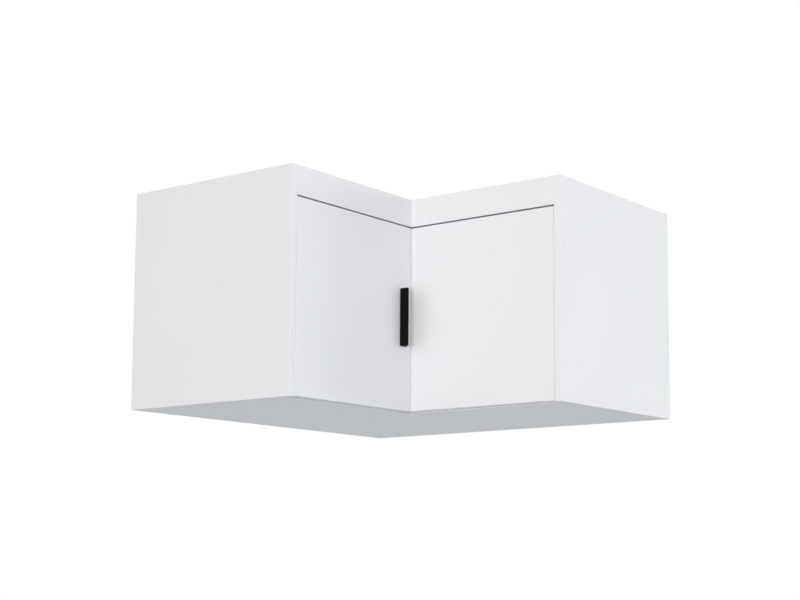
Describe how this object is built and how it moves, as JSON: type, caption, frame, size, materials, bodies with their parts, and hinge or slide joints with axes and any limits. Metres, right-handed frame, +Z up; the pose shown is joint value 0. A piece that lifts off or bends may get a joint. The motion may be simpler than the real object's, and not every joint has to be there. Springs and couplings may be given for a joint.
{
  "type": "corner wall cabinet",
  "caption": "White wall cabinet for the corner of a room, with a door on each wing, a long upright handle, one adjustable shelf and concealed cup hinges.",
  "frame": {"origin": "middle of the underside's bounding square, at the height of the end panels' lower edges", "axes": "+Z up. The two walls of the room's corner are the planes X = -0.4 and Y = +0.4. The left wing's front faces +X, the right wing's front faces -Y, and the doors meet at the inner corner (0.03, -0.03)."},
  "size_m": [0.8, 0.8, 0.448],
  "materials": {
    "white_board": "white melamine coating, slightly textured, on particle board",
    "white_door": "white melamine coating with matching edge banding",
    "white_hardboard": "thin lacquered hardboard",
    "hinge_steel": "nickel-plated pressed steel",
    "zinc_steel": "zinc-plated steel",
    "black_paint": "matt black powder coat",
    "white_plastic": "moulded plastic",
    "beech": "raw beech",
    "clear_bumper": "soft clear dot"
  },
  "bodies": {
    "carcass": {"bottom_board": "white_board", "bracket_screws": "zinc_steel", "cam_bolts": "zinc_steel", "cam_caps": "white_plastic", "cam_housings": "zinc_steel", "dowels": "beech", "fascia_brackets": "zinc_steel", "hanger_screws": "zinc_steel", "hinge_arm_screws": "zinc_steel", "hinge_plate_screws": "zinc_steel", "left_back_panel": "white_hardboard", "left_end_panel": "white_board", "left_fascia": "white_board", "left_hanger": "white_plastic", "left_hanger_hook": "zinc_steel", "left_lower_hinge_arm": "hinge_steel", "left_lower_hinge_plate": "hinge_steel", "left_rear_post": "white_board", "left_upper_hinge_arm": "hinge_steel", "left_upper_hinge_plate": "hinge_steel", "left_wall_plate": "zinc_steel", "right_back_panel": "white_hardboard", "right_end_panel": "white_board", "right_fascia": "white_board", "right_hanger": "white_plastic", "right_hanger_hook": "zinc_steel", "right_lower_hinge_arm": "hinge_steel", "right_lower_hinge_plate": "hinge_steel", "right_rear_post": "white_board", "right_upper_hinge_arm": "hinge_steel", "right_upper_hinge_plate": "hinge_steel", "right_wall_plate": "zinc_steel", "shelf": "white_board", "shelf_pins": "zinc_steel", "top_board": "white_board"},
    "left_door": {"left_door_panel": "white_door", "left_lower_hinge_cup": "hinge_steel", "left_upper_hinge_cup": "hinge_steel", "left_hinge_pivots": "zinc_steel", "left_cup_screws": "zinc_steel", "left_door_bumpers": "clear_bumper", "left_door_handle": "black_paint", "left_handle_screws": "zinc_steel"},
    "right_door": {"right_door_panel": "white_door", "right_lower_hinge_cup": "hinge_steel", "right_upper_hinge_cup": "hinge_steel", "right_hinge_pivots": "zinc_steel", "right_cup_screws": "zinc_steel", "right_door_bumpers": "clear_bumper"}
  },
  "joints": [
    {"name": "left_door_hinge", "type": "hinge", "parent": "carcass", "child": "left_door", "pos_m": [0.02495, -0.37201, 0.195], "axis": [0, 0, -1], "range_deg": [0, 95]},
    {"name": "right_door_hinge", "type": "hinge", "parent": "carcass", "child": "right_door", "pos_m": [0.37201, -0.02495, 0.195], "axis": [0, 0, 1], "range_deg": [0, 95]}
  ]
}
